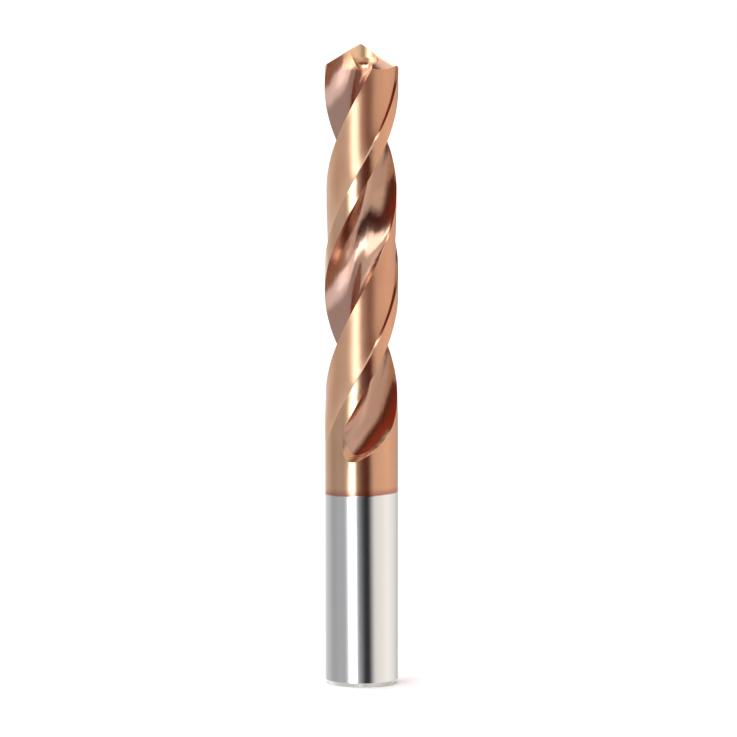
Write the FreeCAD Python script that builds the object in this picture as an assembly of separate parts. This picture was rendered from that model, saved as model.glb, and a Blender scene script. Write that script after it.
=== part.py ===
import FreeCAD, Part
import math
import os

os.makedirs("parts", exist_ok=True)

# Sizes in millimetres and degrees. The axis is Z, the shank's end lies on z = 0 and the point is up.
diameter = 10.2
length = 89.0
shank_length = 29.0
shank_chamfer = 0.6
helix_angle = 29.5

# The point: two flanks ground as cones that lean outwards, with straight lips that lie ahead of the axis.
point_angle = 118.0
lip_ahead = 1.2
lip_corner_angle = 21.7
flank_cone_half = 30.0
flank_cone_back = 12.0
flank_cone_ahead = 2.0

# The notches that thin the web next to the chisel edge.
notch_radius = 2.15
notch_web = 0.5
notch_turn = 89.0
notch_tilt = 8.0
notch_depth = 1.6

# The flute: how near the axis the rake face comes, the round that follows it, and the direction of the
# far wall at the heel, counted from the cutting edge. The far wall is slightly hollow.
rake_foot = 1.9
flute_bottom_radius = 1.6
heel_wall_direction = 91.0

# The section of a land: angles behind its cutting edge, and how far its relieved face lies below
# the margin.
margin_width = 21.0
relief_foot = 24.0
relief_crest = 60.5
land_width = 90.5
relief_foot_drop = 0.34
relief_mid_drop = 0.40
relief_crest_drop = 0.31
heel_mid_drop = 0.24
heel_drop = 0.22

# The margins are a hair over size at the lips and taper back to the shank's diameter.
back_taper = 0.008

# The flute runs out where the grinding wheel lifts off, and the relief a little above it.
flute_end = 31.4
wheel_radius = 50.0
runout_floor_radius = 10.0
runout_floor_depth = 1.9
runout_turn = 42.0
relief_start = 48.0
relief_lift_radius = 230.0

radius = diameter / 2
lead = math.pi * diameter / math.tan(math.radians(helix_angle))
twist = 360.0 / lead
half_point = point_angle / 2
cot_point = 1 / math.tan(math.radians(half_point))
lip_offset_angle = math.degrees(math.asin(lip_ahead / radius))
lip_direction = lip_corner_angle - lip_offset_angle
outside = 1.35 * radius
heel_r = radius - heel_drop


def at(r, angle, z):
    a = math.radians(angle)
    return FreeCAD.Vector(r * math.cos(a), r * math.sin(a), z)


def flank_height(x, y, apex_z):
    """The height of the first flank's cone above a point, in the frame where the lip runs along +X."""
    half = math.radians(flank_cone_half)
    lean = math.radians(half_point) - half
    dx = math.sin(lean)
    dz = -math.cos(lean)
    px = x + flank_cone_back
    py = y - flank_cone_ahead
    share = math.cos(half) ** 2
    a = dz * dz - share
    b = 2 * px * dx * dz
    c = (px * dx) ** 2 - share * (px * px + py * py)
    return apex_z + (-b - math.sqrt(b * b - 4 * a * c)) / (2 * a)


# The cone's own apex is set so that the middle of the chisel edge is the drill's full length up.
cone_z = length - flank_height(0.0, 0.0, 0.0)
corner_x = math.sqrt(radius ** 2 - lip_ahead ** 2)
corner_z = flank_height(corner_x, lip_ahead, cone_z)


def edge_angle(z):
    """Where the first cutting edge lies around the axis at a height."""
    return lip_corner_angle + twist * (z - corner_z)


def rake(r):
    """A point of the rake face in a section. This curve makes the lip straight."""
    angle = math.degrees(math.asin(lip_ahead / r)) - lip_offset_angle
    return at(r, angle - twist * (radius - r) * cot_point, 0)


# The flute's wall in a section, from outside the cutting edge along the rake face to its foot, then round
# the bottom and out along the far wall to the heel. The angles start at the cutting edge.
def flute_wall():
    rim = 1.11 * radius
    points = [rake(rim + (rake_foot - rim) * i / 7) for i in range(8)]
    foot = points[-1]
    inward = foot - rake(1.005 * rake_foot)
    inward.normalize()
    side = FreeCAD.Vector(inward.y, -inward.x, 0)
    small_centre = foot + side * flute_bottom_radius
    heel = at(heel_r, 180 - land_width, 0)
    into_flute = at(1, heel_wall_direction - 90, 0)
    gap = heel - small_centre
    reach = gap.dot(into_flute) + flute_bottom_radius
    big_radius = (flute_bottom_radius ** 2 - gap.dot(gap)) / (2 * reach)
    big_centre = heel + into_flute * big_radius
    first = math.degrees(math.atan2(side.y, side.x))
    join = math.degrees(math.atan2(big_centre.y - small_centre.y, big_centre.x - small_centre.x))
    last = heel_wall_direction - 90
    for i in range(1, 5):
        points.append(small_centre - at(flute_bottom_radius, first + (join - first) * i / 4, 0))
    for i in range(1, 6):
        points.append(big_centre - at(big_radius, join + (last - join) * i / 5, 0))
    outward = at(1, heel_wall_direction, 0)
    points.append(heel + outward * 0.09 * radius)
    points.append(heel + outward * 0.18 * radius)
    return points


full_wall = flute_wall()
full_depth = radius - lip_ahead
runout_path = math.sqrt(wheel_radius ** 2 - (wheel_radius - full_depth) ** 2)
runout_height = runout_path * math.cos(math.radians(helix_angle))


# Near its end the flute is a shallow trough with a wide round floor.
def trough(depth):
    spread = 0.88 * radius
    mid_direction = at(1, runout_turn, 0)
    mid_side = at(1, runout_turn + 90, 0)
    count = len(full_wall)
    points = []
    for i in range(count):
        across = spread * (2 * i / (count - 1) - 1)
        rise = runout_floor_radius - math.sqrt(runout_floor_radius ** 2 - across ** 2)
        points.append(mid_direction * (radius - depth + rise) + mid_side * across)
    return points


def turned(points, angle, z):
    place = FreeCAD.Placement(FreeCAD.Vector(0, 0, z), FreeCAD.Rotation(FreeCAD.Vector(0, 0, 1), angle))
    return [place.multVec(p) for p in points]


def section(points, angle, z):
    """A closed section of a cutter: the wall, and straight sides that meet outside the blank."""
    middle = (points[0] + points[-1]) * 0.5
    reach = FreeCAD.Vector(middle.x, middle.y, 0)
    reach.normalize()
    far = reach * 1.75 * radius
    ring = turned(points, angle, z)
    aside = reach * 0.3 * radius
    out = turned([points[-1] + aside, far, points[0] + aside], angle, z)
    curve = Part.BSplineCurve()
    curve.interpolate(ring)
    sides = [ring[-1]] + out + [ring[0]]
    edges = [curve.toShape()]
    for a, b in zip(sides, sides[1:]):
        edges.append(Part.LineSegment(a, b).toShape())
    return Part.Wire(edges)


def lift_depth(z):
    """How deep the wheel still cuts at a height, measured at the middle of the flute."""
    path = (z - flute_end) / math.cos(math.radians(helix_angle))
    if path >= runout_path:
        return full_depth
    return math.sqrt(wheel_radius ** 2 - (runout_path - path) ** 2) - wheel_radius + full_depth


def heights(low, split, high, fine, coarse):
    lower = max(2, round((split - low) / fine))
    upper = max(2, round((high - split) / coarse))
    rows = [low + (split - low) * i / lower for i in range(lower)]
    return rows + [split + (high - split) * i / upper for i in range(upper + 1)]


above = length + 0.4 * radius

# One flute: full depth from the point down, then a trough that rises out of the shank.
flute_rows = []
for z in heights(flute_end - 0.3 * radius, flute_end + 1.1 * runout_height, above, lead / 56, lead / 28):
    depth = lift_depth(z)
    share = min(1.0, (full_depth - depth) / (full_depth - runout_floor_depth))
    floor = trough(min(depth, runout_floor_depth))
    points = [p * (1 - share) + q * share for p, q in zip(full_wall, floor)]
    flute_rows.append(section(points, edge_angle(z), z))
flute = Part.makeLoft(flute_rows, True, False)


# One land's relief: a step behind the margin, then one smooth face that rises a little towards the heel.
def relief_points(lift):
    step = at(1.14 * radius, 2.2 - margin_width, 0)
    foot = at(radius - relief_foot_drop, -relief_foot, 0)
    mid = at(radius - relief_mid_drop, -(relief_foot + relief_crest) / 2, 0)
    crest = at(radius - relief_crest_drop, -relief_crest, 0)
    heel_mid = at(radius - heel_mid_drop, -(relief_crest + land_width) / 2, 0)
    heel = at(heel_r, -land_width, 0)
    past = at(heel_r + 0.01 * radius, -land_width - 8, 0)
    rim = at(outside, -land_width - 8, 0)
    over = at(1.3 * outside, -relief_crest, 0)
    top = at(outside, 2.2 - margin_width, 0)
    push = at(lift, -(margin_width + land_width) / 2, 0)
    return [p + push for p in (foot, mid, crest, heel_mid, heel, past, rim, over, top, step)]


relief_fade = math.sqrt(2 * relief_lift_radius * 1.4 * relief_mid_drop)
relief_rows = []
for z in heights(relief_start - relief_fade, relief_start, above, lead / 33, lead / 28):
    lift = max(0.0, relief_start - z) ** 2 / (2 * relief_lift_radius)
    points = turned(relief_points(lift), edge_angle(z), z)
    face = Part.BSplineCurve()
    face.interpolate(points[:6])
    edges = [face.toShape()]
    sides = points[5:] + points[:1]
    for a, b in zip(sides, sides[1:]):
        edges.append(Part.LineSegment(a, b).toShape())
    relief_rows.append(Part.Wire(edges))
relief = Part.makeLoft(relief_rows, True, False)

# The blank: a round shank with a chamfered end, and a body ground with a slight back taper.
outline = [
    FreeCAD.Vector(0, 0, 0),
    FreeCAD.Vector(radius - shank_chamfer, 0, 0),
    FreeCAD.Vector(radius, 0, shank_chamfer),
    FreeCAD.Vector(radius, 0, shank_length),
    FreeCAD.Vector(radius + back_taper, 0, length),
    FreeCAD.Vector(0, 0, length + 0.1 * radius),
    FreeCAD.Vector(0, 0, 0),
]
blank = Part.Face(Part.makePolygon(outline)).revolve(FreeCAD.Vector(0, 0, 0), FreeCAD.Vector(0, 0, 1), 360)

# The flank cones lean along the lips and reach past the shank's end.
cone_height = 2.0 * length
lean = math.radians(half_point - flank_cone_half)
cone_direction = FreeCAD.Vector(math.sin(lean), 0, -math.cos(lean))
cone_apex = FreeCAD.Vector(-flank_cone_back, flank_cone_ahead, cone_z)
cone_foot = cone_height * math.tan(math.radians(flank_cone_half))
flank_cone = Part.makeCone(0, cone_foot, cone_height, cone_apex, cone_direction)

# The notch: a round groove that leans a little away from the axis on its way down and has a round end.
notch_out = at(1, notch_turn, 0)
notch_slope = math.tan(math.radians(notch_tilt))
notch_distance = notch_web / 2 + notch_radius * math.sqrt(1 + notch_slope ** 2)
notch_up = FreeCAD.Vector(0, 0, 1) - notch_out * notch_slope
notch_end = notch_out * notch_distance + FreeCAD.Vector(0, 0, length) - notch_up * notch_depth
notch_rod = Part.makeCylinder(notch_radius, notch_depth + 0.6 * radius, notch_end, notch_up)
notch_ball = Part.makeSphere(notch_radius, notch_end, notch_up, -90, 90, 360)
notch = notch_rod.fuse(notch_ball)

axis = FreeCAD.Vector(0, 0, 1)
origin = FreeCAD.Vector(0, 0, 0)
drill = blank
for half in (0, 180):
    leaning = flank_cone.copy()
    leaning.rotate(origin, axis, lip_direction + half)
    drill = drill.common(leaning)
for half in (0, 180):
    for cutter, start in ((flute, 0), (relief, 0), (notch, lip_direction)):
        tool = cutter.copy()
        tool.rotate(origin, axis, start + half)
        drill = drill.cut(tool)

drill = drill.Solids[0]
print("valid", drill.isValid(), "volume", round(drill.Volume, 1), "faces", len(drill.Faces))
print("box", drill.BoundBox)
print("lip corner height", round(corner_z, 2), "lead", round(lead, 2))
drill.exportStep("parts/drill_bit.step")
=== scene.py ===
import bmesh
import bpy
import math
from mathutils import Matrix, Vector

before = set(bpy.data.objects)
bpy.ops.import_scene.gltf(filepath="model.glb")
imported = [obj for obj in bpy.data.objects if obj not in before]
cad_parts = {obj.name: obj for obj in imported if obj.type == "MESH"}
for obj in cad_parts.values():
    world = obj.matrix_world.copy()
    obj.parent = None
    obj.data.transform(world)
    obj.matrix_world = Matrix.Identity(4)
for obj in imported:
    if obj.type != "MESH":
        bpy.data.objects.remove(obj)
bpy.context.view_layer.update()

# The camera stands 600 mm in front of the drill and looks down on it by 5 degrees, through a long lens.
# The frame is square and takes in 102.4 mm at the drill, with the middle of the drill close to its own.
camera_distance = 0.6
camera_elevation = math.radians(5.0)
camera_aim = Vector((0.00097, 0.0, 0.044))
frame_width = 0.1024
sensor_width = 36.0

camera_data = bpy.data.cameras.new("camera")
camera_data.sensor_width = sensor_width
camera_data.lens = sensor_width * camera_distance / frame_width
camera_data.clip_start = 0.01
camera_data.clip_end = 50.0
camera = bpy.data.objects.new("camera", camera_data)
toward_camera = Vector((0.0, -math.cos(camera_elevation), math.sin(camera_elevation)))
camera.location = camera_aim + toward_camera * camera_distance
camera.rotation_euler = (-toward_camera).to_track_quat("-Z", "Y").to_euler()
bpy.context.scene.collection.objects.link(camera)
bpy.context.scene.camera = camera
bpy.context.scene.view_settings.view_transform = "Standard"

# The drill is one rod of cemented carbide, sintered and then ground: the shank round, and the flutes, the
# relieved lands and the point with formed wheels. A hard copper coloured film, a few thousandths of a
# millimetre thick, covers it from the point to a little below the flutes, and the shank is left bare.
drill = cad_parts["drill_bit"]
mm = 0.001
degree = math.radians(1.0)


def linear(hex_colour):
    """An sRGB hex colour as a linear colour."""
    parts = [int(hex_colour[i:i + 2], 16) / 255 for i in (1, 3, 5)]
    return tuple(c / 12.92 if c <= 0.04045 else ((c + 0.055) / 1.055) ** 2.4 for c in parts) + (1.0,)


def add(tree, kind, settings=None, **links):
    """Adds a shader node with its settings. A link or value goes to the input of that name, with _ for a
    space, or of that number for i0, i1 and so on. A whole node is linked by its first output in use."""
    made = tree.nodes.new("ShaderNode" + kind)
    for name, value in (settings or {}).items():
        setattr(made, name, value)
    for name, value in links.items():
        key = int(name[1:]) if name[0] == "i" and name[1:].isdigit() else name.replace("_", " ")
        if isinstance(value, bpy.types.Node):
            value = next(output for output in value.outputs if output.enabled)
        if isinstance(value, bpy.types.NodeSocket):
            tree.links.new(value, made.inputs[key])
        else:
            made.inputs[key].default_value = value
    return made


# Coated ground carbide. Fine wheels leave it nearly as smooth as a mirror, so the eye sees a bright copper
# metal: reflections finely streaked along the helix in the flutes, a haze over them on the lands, and clear
# ones on the margins and the silver grey shank. Faint clouds keep the copper uneven, and a golder left side
# and darker flutes are painted light and shade.
coated = bpy.data.materials.new("coated_ground_carbide")
coated.use_nodes = True
tree = coated.node_tree
tree.nodes.clear()
place = add(tree, "TexCoord")
spot = add(tree, "SeparateXYZ", Vector=place.outputs["Object"])
flat = add(tree, "VectorMath", {"operation": "MULTIPLY"}, i0=place.outputs["Object"], i1=(1.0, 1.0, 0.0))
reach = add(tree, "VectorMath", {"operation": "LENGTH"}, i0=flat)
outward = add(tree, "VectorMath", {"operation": "NORMALIZE"}, i0=flat)
facing = add(tree, "VectorMath", {"operation": "DOT_PRODUCT"}, i0=outward, i1=place.outputs["Normal"])

# Which part of the drill a spot is on. The lands and the round outside lie far out and face outwards, the
# round outside alone is past 5.06 mm, the flanks of the point face up, and the rest is flute.
land_starts = 4.60 * mm
land_full = 4.66 * mm
outward_starts = 0.7
outward_full = 0.85
round_starts = 5.06 * mm
round_full = 5.09 * mm
body_upright = 0.4
point_upright = 0.5
far_out = add(tree, "MapRange", Value=reach, From_Min=land_starts, From_Max=land_full)
turned_out = add(tree, "MapRange", Value=facing, From_Min=outward_starts, From_Max=outward_full)
land = add(tree, "Math", {"operation": "MULTIPLY"}, i0=far_out, i1=turned_out)
round_out = add(tree, "MapRange", Value=reach, From_Min=round_starts, From_Max=round_full)
upright = add(tree, "SeparateXYZ", Vector=place.outputs["Normal"])
not_point = add(tree, "MapRange", Value=upright.outputs["Z"], From_Min=point_upright, From_Max=body_upright)

# Wheel marks run along the helix on the fluted part: the place is turned back by the helix before the noise,
# and squeezed along it to draw the marks out. Real marks are a few hundredths of a millimetre apart, too
# fine to show, so they are drawn 0.28 mm apart. The waves in a flute are 1.1 mm apart, and the clouds in the
# coating 2.4 mm.
lead = 56.64 * mm
marks_apart = 0.2778 * mm
marks_squeeze = 0.03
waves_apart = 1.1111 * mm
waves_squeeze = 0.25
waves_to_marks = 1.6
clouds_apart = 2.381 * mm
unwind = add(tree, "Math", {"operation": "MULTIPLY"}, i0=spot.outputs["Z"], i1=-2 * math.pi / lead)
straight = add(tree, "VectorRotate", {"rotation_type": "Z_AXIS"}, Vector=place.outputs["Object"],
               Angle=unwind)
drawn = add(tree, "VectorMath", {"operation": "MULTIPLY"}, i0=straight, i1=(1.0, 1.0, marks_squeeze))
marks = add(tree, "TexNoise", Vector=drawn, Scale=1 / marks_apart, Detail=3.0, Roughness=0.6)
shorter = add(tree, "VectorMath", {"operation": "MULTIPLY"}, i0=straight, i1=(1.0, 1.0, waves_squeeze))
waves = add(tree, "TexNoise", Vector=shorter, Scale=1 / waves_apart, Detail=3.0)
waved = add(tree, "Math", {"operation": "MULTIPLY_ADD"}, i0=waves, i1=waves_to_marks, i2=marks)
cloud = add(tree, "TexNoise", Vector=place.outputs["Object"], Scale=1 / clouds_apart, Detail=2.0)

# The bare shank is ground round, so its marks run round the axis. They too are drawn coarser than the real
# ones, 0.24 mm apart.
rings_apart = 0.2381 * mm
rings_squeeze = (0.05, 0.05, 1.0)
ringed = add(tree, "VectorMath", {"operation": "MULTIPLY"}, i0=place.outputs["Object"], i1=rings_squeeze)
rings = add(tree, "TexNoise", Vector=ringed, Scale=1 / rings_apart, Detail=2.0)

# The coating ends 26.7 mm above the shank's end, in a line that is slightly tilted, wavy and soft, with a
# fringe 1 mm wide above it.
edge_height = 26.7 * mm
edge_tilt = 0.031
edge_wave = 0.3 * mm
edge_softness = 0.1 * mm
fringe_width = 1.0 * mm
tilted = add(tree, "Math", {"operation": "MULTIPLY_ADD"}, i0=spot.outputs["X"], i1=-edge_tilt,
             i2=-edge_height)
above = add(tree, "Math", {"operation": "ADD"}, i0=spot.outputs["Z"], i1=tilted)
wave = add(tree, "Math", {"operation": "MULTIPLY_ADD"}, i0=cloud, i1=edge_wave, i2=above)
wavy = add(tree, "Math", {"operation": "SUBTRACT"}, i0=wave, i1=edge_wave / 2)
coat = add(tree, "MapRange", Value=wavy, From_Min=-edge_softness, From_Max=edge_softness)
fringe = add(tree, "MapRange", Value=wavy, From_Min=fringe_width, From_Max=0.0)

# The coating is painted golder and paler on the left side, as light falling from that side, and paler,
# cooler and darker in the flutes than outside, as painted shade in those hollows. It is dark red where it
# thins out at its edge. The notch at the point, cut last, is the palest.
left_lit_outside = linear("#cbb697")
copper_outside = linear("#c59b7e")
left_lit_flute_shade = linear("#b3988b")
copper_flute_shade = linear("#b69580")
cloud_copper = linear("#b98668")
fringe_red = linear("#8c4f58")
notch_gold = linear("#f4d2ab")
bare_grey = linear("#dadada")
side_half = 3.0 * mm
cloud_low = 0.3
cloud_high = 0.7
cloud_most = 0.16
fringe_most = 0.7
notch_starts = 85.3 * mm
notch_full = 85.9 * mm
notch_outer = 3.0 * mm
notch_inner = 2.4 * mm
# Painted light and shade: a paler, golder left side, and darker, cooler flutes as shade in the hollows.
light_side = add(tree, "MapRange", Value=spot.outputs["X"], From_Min=-side_half, From_Max=side_half)
side_lit_outside = add(tree, "Mix", {"data_type": "RGBA"}, i0=light_side, i6=left_lit_outside, i7=copper_outside)
side_lit_flute_shade = add(tree, "Mix", {"data_type": "RGBA"}, i0=light_side, i6=left_lit_flute_shade, i7=copper_flute_shade)
pointed = add(tree, "Math", {"operation": "SUBTRACT"}, i0=1.0, i1=not_point)
outer = add(tree, "Math", {"operation": "MAXIMUM"}, i0=land, i1=pointed)
tint = add(tree, "Mix", {"data_type": "RGBA"}, i0=outer, i6=side_lit_flute_shade, i7=side_lit_outside)
faint = add(tree, "MapRange", Value=cloud, From_Min=cloud_low, From_Max=cloud_high, To_Max=cloud_most)
mottled = add(tree, "Mix", {"data_type": "RGBA"}, i0=faint, i6=tint, i7=cloud_copper)
fringe_share = add(tree, "Math", {"operation": "MULTIPLY"}, i0=fringe, i1=fringe_most)
fringed = add(tree, "Mix", {"data_type": "RGBA"}, i0=fringe_share, i6=mottled, i7=fringe_red)
top = add(tree, "MapRange", Value=spot.outputs["Z"], From_Min=notch_starts, From_Max=notch_full)
near_axis = add(tree, "MapRange", Value=reach, From_Min=notch_outer, From_Max=notch_inner)
top_middle = add(tree, "Math", {"operation": "MULTIPLY"}, i0=top, i1=near_axis)
notch = add(tree, "Math", {"operation": "MULTIPLY"}, i0=top_middle, i1=not_point)
notched = add(tree, "Mix", {"data_type": "RGBA"}, i0=notch, i6=fringed, i7=notch_gold)
colour = add(tree, "Mix", {"data_type": "RGBA"}, i0=coat, i6=bare_grey, i7=notched)

# The margins and the shank are ground finest, then the flutes, then the lands, and the notch is roughest.
round_roughness = 0.13
flute_roughness = 0.15
land_roughness = 0.2
notch_roughness = 0.4
shank_depth = 0.1
flute_depth = 0.8
mark_height = 0.01 * mm
soft_land = add(tree, "Mix", {"data_type": "FLOAT"}, i0=land, i2=flute_roughness, i3=land_roughness)
soft_round = add(tree, "Mix", {"data_type": "FLOAT"}, i0=round_out, i2=soft_land, i3=round_roughness)
roughness = add(tree, "Mix", {"data_type": "FLOAT"}, i0=notch, i2=soft_round, i3=notch_roughness)
relief = add(tree, "Mix", {"data_type": "FLOAT"}, i0=coat, i2=rings, i3=waved)
depth = add(tree, "Mix", {"data_type": "FLOAT"}, i0=coat, i2=shank_depth, i3=flute_depth)

# The solid's own faces reflect the studio a little beside where the drill shows it. So the shading is turned
# back about the axis, by 5 degrees on the margins, 6 in the flutes and 8.5 on the lands, but not on the
# point, and less and less from 42 mm down to 36, where the flutes run out.
margin_fall = -5.0
flute_fall = -6.0
land_fall = -8.5
cut_starts = 36.0 * mm
cut_full = 42.0 * mm
fall_land = add(tree, "Mix", {"data_type": "FLOAT"}, i0=land, i2=flute_fall, i3=land_fall)
fall_here = add(tree, "Mix", {"data_type": "FLOAT"}, i0=round_out, i2=fall_land, i3=margin_fall)
full_cut = add(tree, "MapRange", Value=spot.outputs["Z"], From_Min=cut_starts, From_Max=cut_full,
               To_Max=degree)
fall_cut = add(tree, "Math", {"operation": "MULTIPLY"}, i0=fall_here, i1=full_cut)
fall_side = add(tree, "Math", {"operation": "MULTIPLY"}, i0=fall_cut, i1=not_point)

# Where a wall of a flute faces up, its shading is opened by up to 21 degrees, so that it sees past the wall
# across from it. The step behind a margin is opened further, and the flanks of the point less.
wall_turn = 21.0
wall_starts = 0.08
wall_full = 0.26
step_starts = 4.62 * mm
step_full = 4.68 * mm
step_factor = 1.75
flank_turn = 7.0
open_up = add(tree, "MapRange", Value=upright.outputs["Z"], From_Min=wall_starts, From_Max=wall_full,
              To_Max=wall_turn * degree)
step = add(tree, "MapRange", Value=reach, From_Min=step_full, From_Max=step_starts,
           To_Min=step_factor, To_Max=1.0)
on_body = add(tree, "Math", {"operation": "MULTIPLY"}, i0=step, i1=not_point)
opened = add(tree, "Math", {"operation": "MULTIPLY"}, i0=open_up, i1=on_body)
turn_body = add(tree, "Math", {"operation": "ADD"}, i0=fall_side, i1=opened)
turn_all = add(tree, "Math", {"operation": "MULTIPLY_ADD"}, i0=pointed, i1=flank_turn * degree, i2=turn_body)
faced = add(tree, "VectorRotate", {"rotation_type": "Z_AXIS"}, Vector=place.outputs["Normal"],
            Angle=turn_all)
bump = add(tree, "Bump", Height=relief, Strength=depth, Distance=mark_height, Normal=faced)

# A land reflects a clear picture with a hazy one over it. The film itself scatters a little orange light.
haze_roughness = 0.42
land_haze = 0.35
flute_scatter = 0.05
land_scatter = 0.11
round_scatter = 0.07
flute_orange = linear("#ff6030")
land_orange = linear("#ff5400")
metal = add(tree, "BsdfPrincipled", Base_Color=colour, Metallic=1.0, Roughness=roughness, Normal=bump)
haze = add(tree, "BsdfPrincipled", Base_Color=colour, Metallic=1.0, Roughness=haze_roughness, Normal=bump)
hazy = add(tree, "Mix", {"data_type": "FLOAT"}, i0=land, i2=0.0, i3=land_haze)
hazed = add(tree, "Mix", {"data_type": "FLOAT"}, i0=round_out, i2=hazy, i3=0.0)
ground_metal = add(tree, "MixShader", i0=hazed, i1=metal, i2=haze)
deep = add(tree, "Mix", {"data_type": "RGBA"}, i0=outer, i6=flute_orange, i7=land_orange)
scatter = add(tree, "BsdfDiffuse", Color=deep)
cut_scatter = add(tree, "Mix", {"data_type": "FLOAT"}, i0=land, i2=flute_scatter, i3=land_scatter)
all_scatter = add(tree, "Mix", {"data_type": "FLOAT"}, i0=round_out, i2=cut_scatter, i3=round_scatter)
film = add(tree, "Math", {"operation": "MULTIPLY"}, i0=coat, i1=all_scatter)
surface = add(tree, "MixShader", i0=film, i1=ground_metal, i2=scatter)
add(tree, "OutputMaterial", Surface=surface)
drill.data.materials.clear()
drill.data.materials.append(coated)

# The floor is a wide sheet of matt white paper. It takes the drill's shadow, and it is clear to what the
# drill reflects, so that the low part of the studio shows there.
floor_half = 6.0
floor_mesh = bpy.data.meshes.new("floor")
sheet = bmesh.new()
bmesh.ops.create_grid(sheet, x_segments=1, y_segments=1, size=floor_half)
sheet.to_mesh(floor_mesh)
sheet.free()
floor = bpy.data.objects.new("floor", floor_mesh)
bpy.context.scene.collection.objects.link(floor)
paper = bpy.data.materials.new("white_paper")
paper.use_nodes = True
tree = paper.node_tree
tree.nodes.clear()
path = add(tree, "LightPath")
white = add(tree, "BsdfDiffuse", Color=linear("#ffffff"))
clear = add(tree, "BsdfTransparent")
sheet_look = add(tree, "MixShader", i0=path.outputs["Is Glossy Ray"], i1=white, i2=clear)
add(tree, "OutputMaterial", Surface=sheet_look)
floor_mesh.materials.append(paper)

# The studio is soft boxes and dark flags round the drill, set into the world by azimuth and height in
# degrees. Azimuth 0 is in front of the drill and grows to the right. The camera sees plain white there.
studio = bpy.data.worlds.new("studio")
bpy.context.scene.world = studio
studio.use_nodes = True
tree = studio.node_tree
tree.nodes.clear()
way = add(tree, "TexCoord")
axes = add(tree, "SeparateXYZ", Vector=way.outputs["Generated"])
front = add(tree, "Math", {"operation": "MULTIPLY"}, i0=axes.outputs["Y"], i1=-1.0)
around = add(tree, "Math", {"operation": "ARCTAN2"}, i0=axes.outputs["X"], i1=front)
level_azimuth = add(tree, "Math", {"operation": "DEGREES"}, i0=around)
rise = add(tree, "Math", {"operation": "ARCSINE"}, i0=axes.outputs["Z"])
height = add(tree, "Math", {"operation": "DEGREES"}, i0=rise)

# From 4 to 24 degrees up the studio swings round by twice the turn of the opened walls of the flutes,
# because a reflection turns by twice what its wall does. So an opened wall sees what it would unopened.
swing_starts = 4.0
swing_full = 24.0
swing = add(tree, "MapRange", Value=height, From_Min=swing_starts, From_Max=swing_full,
            To_Max=-2 * wall_turn)
azimuth = add(tree, "Math", {"operation": "ADD"}, i0=level_azimuth, i1=swing)

# What stands in front leans to the left as it rises, from 5 degrees below level, by 1.85 degrees for each
# degree at first and by less further up. The lean fades out between 85 and 130 degrees round.
lean_starts = -5.0
lean_slope = 1.85
lean_bend = -0.015
lean_fades = 85.0
lean_ends = 130.0
over = add(tree, "Math", {"operation": "ADD"}, i0=height, i1=-lean_starts)
bend = add(tree, "Math", {"operation": "MULTIPLY_ADD"}, i0=over, i1=lean_bend, i2=lean_slope)
shift = add(tree, "Math", {"operation": "MULTIPLY"}, i0=over, i1=bend)
off_front = add(tree, "Math", {"operation": "ABSOLUTE"}, i0=azimuth)
only_front = add(tree, "MapRange", Value=off_front, From_Min=lean_ends, From_Max=lean_fades)
leaning = add(tree, "Math", {"operation": "MULTIPLY_ADD"}, i0=shift, i1=only_front, i2=azimuth)

# The ring round the drill, as azimuth and then the level of red, green and blue, where 1 is white.
ring_levels = [
    # Behind, a pale wall that darkens towards the left.
    (-180, 1.05, 1.05, 1.05),
    (-160, 1.1, 1.1, 1.1),
    (-145, 0.82, 0.81, 0.8),
    (-121, 0.68, 0.67, 0.67),
    # On the left, a grey wall.
    (-109, 0.52, 0.51, 0.51),
    (-99, 0.46, 0.46, 0.46),
    (-81, 0.53, 0.53, 0.55),
    (-60, 0.51, 0.51, 0.54),
    (-55, 0.55, 0.55, 0.56),
    # Left of the camera, a narrow bright soft box.
    (-49, 1.0, 1.0, 1.0),
    (-43, 2.4, 2.4, 2.4),
    (-37, 4.8, 4.8, 4.8),
    (-27, 6.0, 6.0, 6.0),
    (-24, 2.4, 2.4, 2.4),
    # Round the camera, a dark flag.
    (-19, 0.42, 0.42, 0.43),
    (-12, 0.33, 0.34, 0.36),
    (-4, 0.13, 0.14, 0.15),
    (2, 0.05, 0.055, 0.06),
    (10, 0.02, 0.022, 0.025),
    (20, 0.012, 0.014, 0.017),
    # On the right, a wide and slightly warm soft box.
    (25, 0.36, 0.36, 0.35),
    (30, 0.56, 0.54, 0.52),
    (36, 1.0, 0.95, 0.89),
    (60, 1.12, 1.06, 0.97),
    (85, 1.26, 1.2, 1.13),
    (107, 1.13, 1.09, 1.02),
    (125, 1.0, 0.97, 0.92),
    # Behind on the right, the pale wall again.
    (141, 0.8, 0.77, 0.75),
    (152, 0.66, 0.65, 0.63),
    (165, 0.75, 0.74, 0.73),
    (180, 1.05, 1.05, 1.05),
]
full_turn = 360
turn = add(tree, "Math", {"operation": "MULTIPLY_ADD"}, i0=leaning, i1=1 / full_turn, i2=0.5)
wrapped = add(tree, "Math", {"operation": "FRACT"}, i0=turn)
ring = add(tree, "ValToRGB", i0=wrapped)
elements = ring.color_ramp.elements
for degrees, red, green, blue in ring_levels:
    position = 0.5 + degrees / full_turn
    ends = {0.0: elements[0], 1.0: elements[-1]}
    stop = ends.get(position) or elements.new(position)
    stop.color = (red, green, blue, 1.0)

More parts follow.
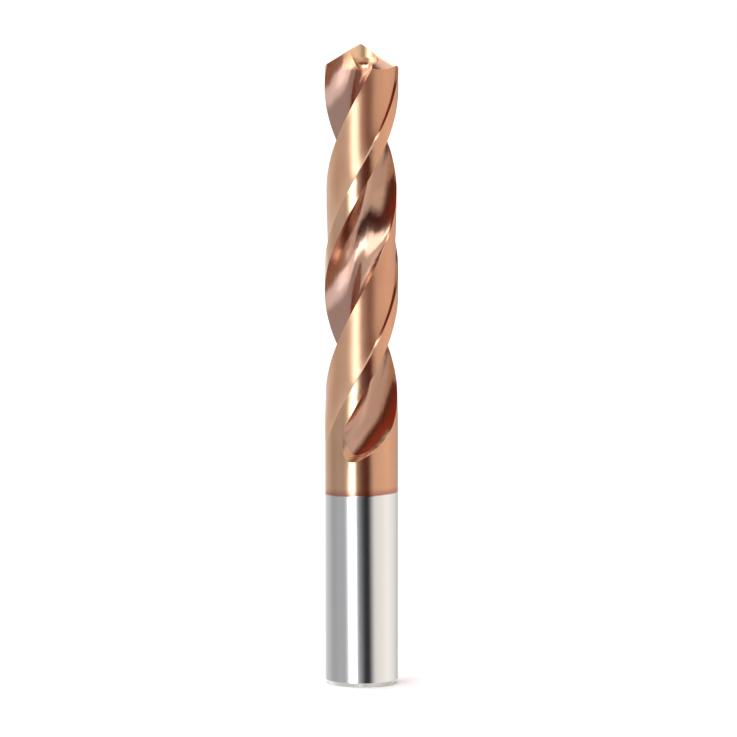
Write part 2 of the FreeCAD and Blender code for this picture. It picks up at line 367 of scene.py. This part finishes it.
# The cards over the ring, each over those before it: what it goes by round the drill, from where to where
# round and up, how soft its edge is, and its level.
cards = [
    # The left side: a pale box, its foot, and the floor before it.
    (azimuth, (-125.0, -84.0), (6.0, 38.0), 6.0, (0.9, 0.9, 0.88)),
    (azimuth, (-125.0, -66.0), (-1.0, 12.0), 4.0, (0.9, 0.9, 0.88)),
    (azimuth, (-125.0, -50.0), (-60.0, -13.0), 7.0, (0.63, 0.63, 0.64)),
    # Low in front, to the left: a bright table, brightest in its middle, with a pinkish far edge.
    (azimuth, (-52.0, 4.0), (-62.0, -22.0), 9.0, (1.4, 1.4, 1.45)),
    (azimuth, (-34.0, 2.0), (-42.0, -20.0), 7.0, (2.4, 2.4, 2.5)),
    (azimuth, (-42.0, 8.0), (-26.0, -13.0), 4.0, (1.75, 1.65, 1.65)),
    # Low in front, to the right: a warm table that darkens downwards.
    (azimuth, (5.0, 60.0), (-32.0, -19.0), 4.0, (1.15, 0.97, 0.88)),
    (azimuth, (5.0, 60.0), (-60.0, -32.0), 4.0, (0.75, 0.55, 0.44)),
    # The right side: a warm box, browner higher up, with two dark flags before it.
    (azimuth, (30.0, 100.0), (4.0, 60.0), 7.0, (0.92, 0.86, 0.82)),
    (azimuth, (20.0, 84.0), (30.0, 60.0), 6.0, (0.65, 0.5, 0.4)),
    (azimuth, (71.0, 97.0), (21.0, 60.0), 6.0, (0.05, 0.012, 0.006)),
    (azimuth, (60.0, 95.0), (37.0, 52.0), 5.0, (0.05, 0.012, 0.006)),
    # High in front: a dark flag, deep red further up.
    (azimuth, (-50.0, 31.0), (31.0, 64.0), 7.0, (0.08, 0.04, 0.03)),
    (azimuth, (-85.0, 25.0), (47.0, 64.0), 4.0, (0.28, 0.05, 0.03)),
    # Low on the right: a pale table, and brown floor below it.
    (azimuth, (57.0, 115.0), (-45.0, -17.0), 5.0, (1.08, 0.95, 0.9)),
    (azimuth, (-8.0, 62.0), (-75.0, -48.0), 8.0, (0.5, 0.3, 0.2)),
    (azimuth, (10.0, 60.0), (-75.0, -38.0), 8.0, (0.48, 0.3, 0.2)),
    # Behind: a white wall, brighter at its foot.
    (off_front, (102.0, 200.0), (26.0, 80.0), 6.0, (1.35, 1.35, 1.35)),
    (off_front, (125.0, 200.0), (6.0, 30.0), 6.0, (2.2, 2.2, 2.2)),
    # A white box in front of the narrow one, which makes it wider higher up.
    (leaning, (-50.0, -13.0), (13.0, 42.0), 5.0, (3.2, 3.2, 3.2)),
    # Overhead: a bright box.
    (azimuth, (-200.0, 200.0), (74.0, 100.0), 4.0, (5.0, 5.0, 5.0)),
]
lit = ring
for across, (left, right), (low, high), soft, level in cards:
    share = None
    for value, start, end in ((across, left, right), (height, low, high)):
        for first, full in ((start - soft, start + soft), (end + soft, end - soft)):
            edge = add(tree, "MapRange", {"interpolation_type": "SMOOTHSTEP"},
                       Value=value, From_Min=first, From_Max=full)
            if share is None:
                share = edge
            else:
                share = add(tree, "Math", {"operation": "MULTIPLY"}, i0=share, i1=edge)
    lit = add(tree, "Mix", {"data_type": "RGBA"}, i0=share, i6=lit, i7=(*level, 1.0))
path = add(tree, "LightPath")
plain = linear("#ffffff")
seen = add(tree, "Mix", {"data_type": "RGBA"}, i0=path.outputs["Is Camera Ray"], i6=lit, i7=plain)
light = add(tree, "Background", Color=seen)
add(tree, "OutputWorld", Surface=light)
